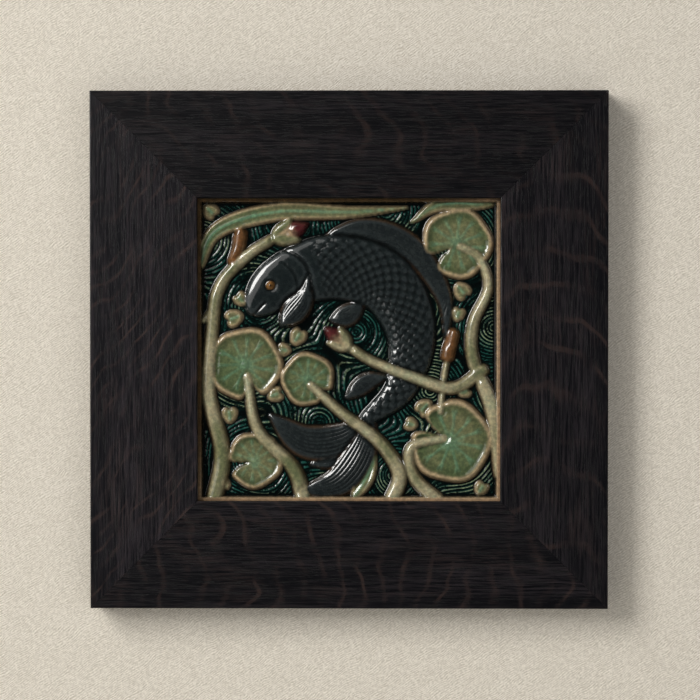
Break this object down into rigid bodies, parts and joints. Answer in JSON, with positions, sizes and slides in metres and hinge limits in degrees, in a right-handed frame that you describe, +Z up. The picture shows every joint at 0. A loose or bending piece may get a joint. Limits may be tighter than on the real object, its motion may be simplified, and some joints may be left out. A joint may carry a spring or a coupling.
{
  "type": "framed art tile",
  "caption": "Glazed relief tile in a wide mitred hardwood frame, made to hang flat on a wall by a keyhole slot in its back.",
  "frame": {"origin": "in the keyhole in the top rail's back, on the axis of the hanging screw, in the plane of the wall", "axes": "+X right as seen from the front, +Y into the wall, +Z up; the picture faces -Y"},
  "size_m": [0.337, 0.0221, 0.337],
  "materials": {
    "stained_oak": "near-black stained oak, thin satin finish over open pores",
    "tile_glaze": "glossy pooled glazes, olive, deep green and charcoal",
    "board_fibre": "smooth brown hardboard",
    "screw_steel": "zinc-plated"
  },
  "bodies": {
    "root": {"frame_rail_top": "stained_oak", "frame_rail_bottom": "stained_oak", "frame_stile_left": "stained_oak", "frame_stile_right": "stained_oak", "relief_tile": "tile_glaze", "back_board": "board_fibre", "back_board_screw_1": "screw_steel", "back_board_screw_2": "screw_steel", "back_board_screw_3": "screw_steel", "back_board_screw_4": "screw_steel", "back_board_screw_5": "screw_steel", "back_board_screw_6": "screw_steel", "back_board_screw_7": "screw_steel", "back_board_screw_8": "screw_steel"}
  },
  "joints": []
}
